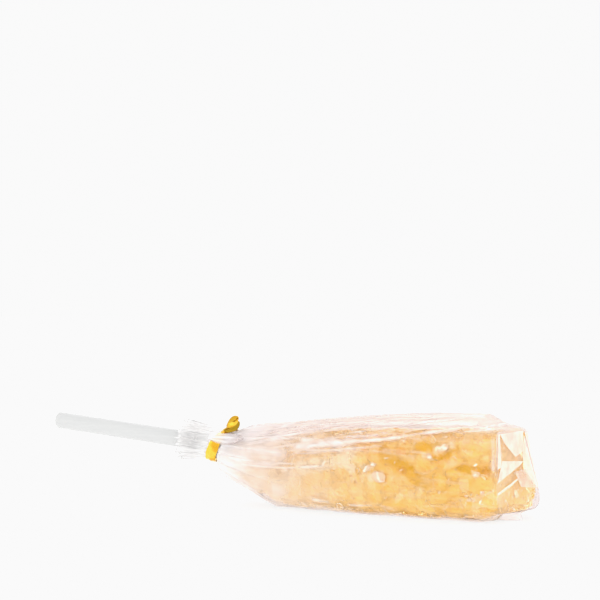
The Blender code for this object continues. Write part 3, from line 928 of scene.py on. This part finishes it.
def flap_rows():
    """Rows from the floor up to the end of the film that hangs there."""
    foot = [NECK + Vector((place * MM, across * MM, 2 * FILM_THICKNESS)) for place, across in FLAP_FOOT]
    angles = [polar(across * MM, FLAP_TOP_HEIGHT * MM - BODY_CENTRE_HEIGHT)[0] for across in FLAP_TOP]
    top = [bag_point(BAG_LENGTH, angle, film_radius(BAG_LENGTH, angle)) for angle in angles]

    def place_at(share, rise):
        point = foot[0].lerp(foot[1], share).lerp(top[0].lerp(top[1], share), rise)
        wave = FLAP_WAVE * sin(7 * share + 3 * rise)
        return point + ALONG * wave, FLAP_HAZE + 0.1 * sin(5 * share), 0.0

    return grid(place_at, shares(8), shares(6))


def film_piece(name, rows, film, **form):
    wall = new_piece(name, sheet_from_rows(name, rows, **form), film).modifiers.new("thickness", "SOLIDIFY")
    wall.thickness = FILM_THICKNESS
    wall.offset = -1


def make_folds(name, outlines, white):
    off_end = ALONG * 0.1 * MM
    plates = []
    for corners in outlines.values():
        points = [end_point(BAG_LENGTH, *corner) + off_end for corner in corners]
        plates.append((points, ALONG, FOLD_THICKNESS))
    plates_piece(name, plates, folded_film(name, *white))


def make_film():
    """The bag, the folds on its end, and the film beyond its outline."""
    film = clear_film()
    film_piece("film_bag", film_rows(), film)
    make_folds("film_folds", END_FOLDS, FOLD_WHITE)
    make_folds("thin_folds", THIN_END_FOLDS, THIN_FOLD_WHITE)
    film_piece("neck_fold", grid(neck_fold, shares(24), shares(20)), film, round_rows=False, caps=())
    film_piece("end_flap", flap_rows(), film, round_rows=False, caps=())


# Sugar

def sugar_radius(station, angle):
    """How far the sugar reaches from the bag's centre line."""
    gap = SUGAR_GAP + SUGAR_GAP_AT_NECK * exp(-station / SUGAR_FULL)
    reach = film_radius(station, angle) - gap
    upward = sin(angle)
    if upward > 0:
        centre = centre_height(station)
        middle, near = (along_table(top, station) - centre for top in (SUGAR_MIDDLE_TOP, SUGAR_NEAR_TOP))
        slope = upward + (middle - near) * max(0.0, -cos(angle)) / BAG_HALF_WIDTH
        reach = min(reach, middle / slope)
    return reach * ease(station, SUGAR_FROM - 1.5 * MM, SUGAR_FULL) ** 0.35


def sugar_point(station, angle, depth=0.0):
    """A point this deep under the sugar's outline."""
    return bag_point(station, angle, sugar_radius(station, angle) - depth)


def inside_bag(point):
    """The point, moved in to where the sugar may reach."""
    local = point - NECK
    station = local.x
    for _ in range(3):
        station = local.x - slant(station, local.y, local.z - centre_height(station))
    station = min(max(station, SUGAR_FROM), SUGAR_TO)
    angle, radius = polar(local.y, local.z - centre_height(station))
    return bag_point(station, angle, min(radius, sugar_radius(station, angle)))


def crystal_points(length, width, thickness):
    """Corners of a sugar crystal: a slanted six-sided bar with bevelled ends."""
    slanted_hexagon = ((1, 0), (0.72, 1), (-0.38, 1), (-1, 0), (-0.72, -1), (0.38, -1))
    points = []
    for along, share in ((-1, 0.62), (-0.66, 1), (0.66, 1), (1, 0.62)):
        for across, up in slanted_hexagon:
            points.append(Vector((along * length, across * share * width, up * share * thickness)))
    return points


def turned(outward, tilt, rng):
    """A turn that lays a crystal's flat side roughly square to outward."""
    spin = Matrix.Rotation(rng.uniform(0, tau), 3, "Z")
    tip = Matrix.Rotation(rng.uniform(-tilt, tilt), 3, "X")
    tip = Matrix.Rotation(rng.uniform(-tilt, tilt), 3, "Y") @ tip
    return outward.to_track_quat("Z", "X").to_matrix() @ tip @ spin


def add_crystal(name, place, outward, length, proud, tilt, rng, collection):
    """A crystal whose outermost corner stands this proud of a place."""
    points = crystal_points(length, length * rng.uniform(0.6, 0.9), length * rng.uniform(0.45, 0.7))
    turn = turned(outward, tilt, rng)
    points = [turn @ point for point in points]
    reach = max(point.dot(outward) for point in points)
    bm = bmesh.new()
    add_hull(bm, [inside_bag(place + outward * (proud - reach) + point) for point in points])
    new_object(name, finished_mesh(bm, "faceted"), collection)


def side_crystal(name, station, angle, *rest):
    add_crystal(name, sugar_point(station, angle), outward_at(angle), *rest)


def press_crystals(rng, collection):
    """Rings of large crystals along the bag, crumbs between them, and crystals that face the folded end."""
    count = round((SUGAR_TO - SUGAR_FROM) / CRYSTAL_PITCH)
    made = 0
    for k in range(count):
        base = lerp(CORE_FROM, SUGAR_TO - 2 * MM, k / (count - 1))
        reach = CRYSTAL_RING_RADIUS * sqrt(ease(base, SUGAR_FROM, SUGAR_FULL))
        around = max(6, round(tau * reach / CRYSTAL_PITCH))
        for n in range(around):
            station = base + rng.uniform(-0.4, 0.4) * CRYSTAL_PITCH
            station = min(max(station, SUGAR_FROM + 1 * MM), SUGAR_TO)
            angle = tau * (n + 0.5 * (k % 2) + rng.uniform(-0.35, 0.35)) / around
            proud, length = rng.uniform(*CRYSTAL_PROUD) * MM, rng.uniform(*CRYSTAL_HALF_LENGTH)
            side_crystal(f"crystal_{made}", station, angle, length, proud, CRYSTAL_TILT, rng, collection)
            made += 1
    for n in range(CRUMBS):
        station = lerp(SUGAR_FROM + 4 * MM, SUGAR_TO, rng.random() ** 0.7)
        angle = rng.uniform(0, tau)
        proud, length = rng.uniform(*CRUMB_PROUD) * MM, rng.uniform(*CRUMB_HALF_LENGTH)
        side_crystal(f"crumb_{n}", station, angle, length, proud, CRUMB_TILT, rng, collection)
    for n in range(END_CRYSTALS):
        angle = tau * (n + rng.uniform(-0.3, 0.3)) / END_CRYSTALS
        radius = sugar_radius(SUGAR_TO, angle) * sqrt(rng.uniform(0.05, 0.8))
        length, proud = rng.uniform(*END_HALF_LENGTH) * MM, rng.uniform(*END_PROUD) * MM
        place = bag_point(SUGAR_TO, angle, radius)
        add_crystal(f"end_{n}", place, ALONG, length, proud, END_TILT, rng, collection)


def lump_at(place):
    return 0.5 + 0.6 * noise.noise(place / LUMP_SIZE)


def depth_at(depths, lump):
    return lerp(*depths, min(1, max(0, lump)))


def block_place(k, n):
    """(point,) of one corner of the lumpy solid under the crystals."""
    station = lerp(CORE_FROM, SUGAR_TO - BLOCK_DEPTH[0], k / BLOCK_STEPS)
    angle = tau * (n + 0.5 * (k % 2)) / BLOCK_STEPS
    radius = sugar_radius(station, angle)
    depth = depth_at(BLOCK_DEPTH, lump_at(bag_point(station, angle, radius)))
    return (bag_point(station, angle, radius - min(depth, 0.5 * radius)),)


def rough_solid(name, rows, layer_names=()):
    return sheet_from_rows(name, rows, layer_names, caps=(0, -1), smooth=False)


def mark_at(marks, station, angle, radius):
    """How strongly a place on the heart is marked."""
    turn = degrees(angle)
    found = 0.0
    for gap, _, width, strength in lines_near(marks, station, turn, radius, 4):
        if gap < 1.5 * width:
            ragged = 0.25 * noise.noise((station / (1.2 * MM), turn / 6, width * 9))
            found = max(found, strength * (1 - ease(gap / width + ragged, 0.38, 0.75)))
    return found


def gap_to_top_edges(station, angle):
    """The angle between a place on the sugar and the nearer one of its two upper edges."""
    centre = centre_height(station)
    near_edge = atan2(along_table(SUGAR_NEAR_TOP, station) - centre, -BAG_HALF_WIDTH)
    far_edge = atan2(along_table(SUGAR_MIDDLE_TOP, station) - centre, BAG_HALF_WIDTH)
    return min(abs(angle - near_edge), abs(angle - far_edge))


def heart_place(station, angle):
    """(point, deep, pale) on the heart, whose lumps have small facets."""
    radius = sugar_radius(station, angle)
    place = bag_point(station, angle, radius)
    facet = noise.noise(place / FACET_SIZE, noise_basis="VORONOI_F2F1")
    depth = depth_at(HEART_DEPTH, lump_at(place) + 0.45 * (facet - 0.4))
    depth *= lerp(HEART_EDGE, 1, ease(gap_to_top_edges(station, angle), 0, 0.3))
    depth *= lerp(1, HEART_END, ease(station, *HEART_END_RANGE))
    marks = [mark_at(kind, station, angle, radius) for kind in (DEEP_MARKS, PALE_MARKS)]
    return bag_point(station, angle, radius - min(depth, 0.5 * radius)), *marks


def heart_mesh():
    first, last = CORE_FROM, SUGAR_TO - HEART_DEPTH[0]
    stations = [lerp(first, last, share) for share in shares(round((last - first) / HEART_STEP))]
    return rough_solid("sugar_heart", grid(heart_place, stations, turns(HEART_AROUND)), ("deep", "pale"))


def joined_mesh(block, collection):
    """The block's mesh united with the collection's solids, which are removed."""
    helper = new_object("sugar_block", block)
    union = helper.modifiers.new("union", "BOOLEAN")
    union.operation = "UNION"
    union.operand_type = "COLLECTION"
    union.collection = collection
    union.solver = "MANIFOLD"
    bpy.context.view_layer.update()
    evaluated = helper.evaluated_get(bpy.context.evaluated_depsgraph_get())
    made = bpy.data.meshes.new_from_object(evaluated)
    for spare in [helper, *collection.objects]:
        bpy.data.objects.remove(spare)
    bpy.data.collections.remove(collection)
    made.materials.clear()
    return made


def frost_facets(mesh, rng):
    """Gives each flat facet its own share of frost."""
    found = {}
    values = []
    for face in mesh.polygons:
        normal = face.normal
        key = tuple(round(v, 2) for v in normal) + (round(normal.dot(face.center) / (0.1 * MM)),)
        if key not in found:
            found[key] = rng.random()
        values.append(found[key])
    frost = mesh.attributes.new("frost", "FLOAT", "FACE")
    for n, value in enumerate(values):
        frost.data[n].value = FROST * ease(value, 0.7, 1.0)


def chip(middle, outward, rng):
    """A small flat flaw inside the sugar."""
    turn = turned(outward, 0.6, rng)
    length = rng.uniform(*CHIP_LENGTH)
    width = length * rng.uniform(0.2, 0.6)
    points = [inside_bag(middle + turn @ Vector((x * length, y * width, 0))) for x, y in CHIP_OUTLINE]
    return points, turn @ Vector((0, 0, -1)), CHIP_THICKNESS


def side_chip(station, angle, rng):
    return chip(sugar_point(station, angle, rng.uniform(*CHIP_DEPTH)), outward_at(angle), rng)


def chips_inside(corners, count, rng):
    """Chips scattered in an outline of (station, degrees) corners."""
    made = []
    for _ in range(count):
        weights = [rng.expovariate(1.0) for _ in corners]
        place, turn = (
            sum(weight * value for weight, value in zip(weights, values)) / sum(weights)
            for values in zip(*corners))
        made.append(side_chip(place * MM, radians(turn), rng))
    return made


def end_chip(rng):
    """A chip anywhere behind the folded end."""
    angle = rng.uniform(0, tau)
    radius = sugar_radius(SUGAR_TO, angle) * sqrt(rng.random())
    return chip(bag_point(SUGAR_TO - rng.uniform(*END_CHIP_DEPTH) * MM, angle, radius), ALONG, rng)


def pebble(middle, outward, half_length, half_width, rng):
    """A small lump of pale sugar that lies flat under the surface."""
    turn = outward.to_track_quat("Z", "X").to_matrix() @ Matrix.Rotation(rng.uniform(-0.5, 0.5), 3, "Z")
    points = []
    for _ in range(PEBBLE_CORNERS):
        way = Vector([rng.gauss(0, 1) for _ in range(3)]).normalized()
        lump = Vector((way.x * half_width, way.y * half_length, way.z * PEBBLE_FLATNESS * half_width)) * MM
        points.append(inside_bag(middle + turn @ lump))
    return points, -outward, PEBBLE_SKIN


def make_flaws(rng):
    deep, pale, pebbles = [], [], []
    for place, turn, *sizes, depth in PEBBLES:
        angle = radians(turn)
        pebbles.append(pebble(sugar_point(place * MM, angle, depth * MM), outward_at(angle), *sizes, rng))
    for corners, count in PALE_CHIPS:
        pale += chips_inside(corners, count, rng)
    for n in range(RANDOM_CHIPS):
        kind = pale if n % DEEP_CHIP_EVERY else deep
        kind.append(side_chip(rng.uniform(*RANDOM_CHIP_RANGE) * MM, rng.uniform(0, tau), rng))
    for across, height, *sizes in END_PEBBLES:
        pale.append(pebble(end_point(SUGAR_TO - END_PEBBLE_DEPTH, across, height), ALONG, *sizes, rng))
    pale += [end_chip(rng) for _ in range(END_CHIPS)]
    dark = matt_sugar("deep_amber", (0.66, 0.4, 0.07, 1), (0.58, 0.31, 0.03, 1), 4 * MM)
    light = matt_sugar("pale_flaw", (1.0, 0.95, 0.82, 1), (1.0, 0.9, 0.7, 1), 2 * MM)
    dull = matt_sugar("pebble_sugar", (0.98, 0.88, 0.79, 1), (0.93, 0.81, 0.71, 1), 1 * MM)
    plates_piece("sugar_pebbles", pebbles, dull)
    plates_piece("sugar_veins", deep, dark)
    plates_piece("sugar_flaws", pale, light)


def make_sugar():
    rng = random.Random(CRYSTAL_SEED)
    pressed = bpy.data.collections.new("pressed")
    bpy.context.scene.collection.children.link(pressed)
    press_crystals(rng, pressed)
    block = rough_solid("sugar_block", grid(block_place, range(BLOCK_STEPS + 1), range(BLOCK_STEPS)))
    crystals = joined_mesh(block, pressed)
    frost_facets(crystals, rng)
    new_piece("sugar_crystals", crystals, sugar_glass())
    new_piece("sugar_heart", heart_mesh(), matt_sugar(
        "cloudy_sugar", (0.965, 0.765, 0.325, 1), (0.955, 0.69, 0.19, 1), 7 * MM, heart=True))
    make_flaws(rng)


# Stick and tie

def finish_stick():
    stick = frame["nodes"]["stick"]
    stick.data.materials.clear()
    stick.data.materials.append(white_plastic())


def ribbon_outline(width):
    """The ribbon's outline, above and then below: foil that is thin at its edges and thick over the wire."""
    upper = []
    for across in (lerp(-1, 1, share) for share in shares(10)):
        thick = lerp(RIBBON_EDGE, RIBBON_WIRE, exp(-((across / WIRE_SHARE) ** 2)))
        upper.append((across * width / 2, thick / 2))
    return upper + [(x, -y) for x, y in reversed(upper)]


def ribbon_row(bm, place, way, side, width):
    """The corners of a ribbon that runs this way through a place, with its width along side."""
    forward = way.normalized()
    normal = forward.cross(side).normalized()
    wide = normal.cross(forward).normalized()
    return [bm.verts.new(place + wide * x + normal * y) for x, y in ribbon_outline(width)]


def tie_out(angle):
    """The way from the middle of the tie to its ring, which leans with the neck."""
    return Vector((NECK_LEAN * sin(angle), cos(angle), sin(angle)))


def tie_ring(bm, centre):
    places, sides = [], []
    for angle in turns(RING_STEPS):
        out = tie_out(angle)
        wave = 1 + 0.02 * sin(5 * angle) + 0.012 * sin(11 * angle)
        places.append(centre + out * RIBBON_RADIUS * wave)
        sides.append(ALONG + out * 0.18 * sin(3 * angle + 1))
    rows = []
    for n, side in enumerate(sides):
        way = places[(n + 1) % RING_STEPS] - places[n - 1]
        rows.append(ribbon_row(bm, places[n], way, side, RIBBON_WIDTH))
    bridge(bm, rows + rows[:1])


def tie_strand(bm, centre, turn, bend, shade):
    """One end of the ribbon: wound round the other, then a loose tail, with painted shade on one half of it.
    """
    direction = Vector(TWIST_DIRECTION).normalized()
    sideways = direction.cross(Vector((0, 1, 0))).normalized()
    other = direction.cross(sideways)
    start = centre + RIBBON_RADIUS * tie_out(radians(TWIST_AT))
    places, sides, widths = [], [], []
    for n in range(STRAND_STEPS + 1):
        along = (TWIST_LENGTH + TAIL_LENGTH) * n / STRAND_STEPS
        wound = min(along, TWIST_LENGTH) / TWIST_LENGTH
        loose = max(0.0, along - TWIST_LENGTH) / TAIL_LENGTH
        angle = turn + tau * TWIST_TURNS * wound
        out = sideways * cos(angle) + other * sin(angle)
        splay = sideways * TAIL_SPLAY * sin(pi * 0.75 * loose) * bend
        places.append(start + direction * along + out * TWIST_RADIUS * MM + splay)
        sides.append(direction.cross(out))
        widening = lerp(*TWIST_WIDTH, ease(along, 0, TWIST_LENGTH))
        widths.append(RIBBON_WIDTH * widening * (1 - TAIL_TAPER * loose ** 4))
    layer = bm.verts.layers.float["shade"]
    ways = [after - before for before, after in zip(places[:1] + places, places[1:] + places[-1:])]
    rows = []
    for n, (place, way, side, width) in enumerate(zip(places, ways, sides, widths)):
        row = ribbon_row(bm, place, way, side, width)
        for vert, (x, _) in zip(row, ribbon_outline(width)):
            # Painted shade: from a little past the strand's start, one half of it across its width is
            # darkened as shade
            vert[layer] = shade * ease(n / len(places), 0.15, 0.3) * ease(x / width, -0.15, 0.1)
        rows.append(row)
    bridge(bm, rows)
    bm.faces.new(rows[0])
    bm.faces.new(rows[-1])


def make_tie():
    bm = bmesh.new()
    bm.verts.layers.float.new("shade")
    centre = NECK + Vector((0, 0, STICK_HEIGHT))
    tie_ring(bm, centre)
    for strand in STRANDS:
        tie_strand(bm, centre, *strand)
    mesh = finished_mesh(bm, "gold_tie", smooth=True)
    mesh.set_sharp_from_angle(angle=radians(50))
    new_piece("gold_tie", mesh, gold_foil(), "twist_tie")


# Floor, light and camera

def make_floor():
    mesh = bpy.data.meshes.new("floor")
    corners = [(x * FLOOR_HALF, y * FLOOR_HALF, 0) for x, y in ((-1, -1), (1, -1), (1, 1), (-1, 1))]
    mesh.from_pydata(corners, [], [(0, 1, 2, 3)])
    floor = new_object("floor", mesh)
    n = new_material("pale_floor")
    for_camera = n.add("LightPath", output="Is Camera Ray")
    uneven = n.steps(n.noise(20, 2.0), 0.3, 0.7, -FLOOR_UNEVEN, FLOOR_UNEVEN)
    white = n.math("ADD", n.steps(for_camera, 0, 1, *FLOOR_WHITE), uneven)
    matt = n.add("BsdfDiffuse", {"Color": white})
    glow = n.add("Emission", {"Strength": n.steps(for_camera, 0, 1, *FLOOR_GLOW)})
    mesh.materials.append(n.finish(Surface=n.add("AddShader", {0: matt, 1: glow})))


def make_world():
    """Soft white from all round: strongest at the horizon, and plain white where the camera sees it."""
    world = bpy.data.worlds.new("studio")
    bpy.context.scene.world = world
    n = Nodes(world, "World")
    height = n.add("SeparateXYZ", {"Vector": n.add("TexCoord", output="Generated")}, "Z")
    lit, seen = (
        n.add("Background", {"Color": (1.0, 1.0, 1.0, 1), "Strength": strength})
        for strength in (n.steps(height, 0.0, STUDIO_TOP, *STUDIO_LIGHT), SEEN_LIGHT))
    n.finish(Surface=n.mix(n.add("LightPath", output="Is Camera Ray"), lit, seen))


def add_sun(name, strength, width, turn):
    """A soft sun, this many degrees across."""
    sun = bpy.data.lights.new(name, "SUN")
    sun.energy = strength
    sun.angle = radians(width)
    new_object(name, sun).rotation_euler = turn


def make_lamps():
    add_sun("fill", 0.15, 60, (radians(-35), radians(-25), 0))
    add_sun("end_fill", 0.3, 50, Vector((1, -0.25, 0.3)).to_track_quat("Z", "Y").to_euler())
    box = bpy.data.lights.new("back_box", "AREA")
    box.shape = "RECTANGLE"
    box.size, box.size_y = BACK_BOX_SIZE
    box.energy = 1.0
    panel = new_object("back_box", box)
    panel.location = BACK_BOX_PLACE
    panel.rotation_euler = (-panel.location).to_track_quat("-Z", "Y").to_euler()
    panel.visible_camera = False


def make_camera():
    azimuth, elevation = radians(VIEW_AZIMUTH), radians(VIEW_ELEVATION)
    data = bpy.data.cameras.new("camera")
    camera = new_object("camera", data)
    level = VIEW_DISTANCE * cos(elevation)
    camera.location = NECK + VIEW_POINT + Vector((
        level * sin(azimuth), -level * cos(azimuth), VIEW_DISTANCE * sin(elevation)))
    beside, below = (atan((pixel - PICTURE_SIDE / 2) / FOCAL_PIXELS) for pixel in VIEW_POINT_PIXEL)
    camera.rotation_euler = (radians(90) - elevation + below, 0, azimuth + beside)
    data.sensor_width = SENSOR_WIDTH
    data.lens = FOCAL_PIXELS / PICTURE_SIDE * SENSOR_WIDTH
    data.clip_start = 0.01
    data.clip_end = 100
    bpy.context.scene.camera = camera


def render_settings():
    scene = bpy.context.scene
    scene.view_settings.view_transform = "Standard"
    scene.view_settings.use_curve_mapping = True
    curves = scene.view_settings.curve_mapping
    curves.curves[3].points[1].location = (1.0, WHITE_LEVEL)
    curves.extend = "HORIZONTAL"
    curves.use_clip = False
    curves.update()
    scene.cycles.use_denoising = True
    scene.cycles.max_bounces = 32
    scene.cycles.transmission_bounces = 28
    scene.cycles.glossy_bounces = 8
    scene.cycles.diffuse_bounces = 6
    scene.cycles.transparent_max_bounces = 32


make_film()
make_sugar()
finish_stick()
make_tie()
make_floor()
make_world()
make_lamps()
make_camera()
render_settings()
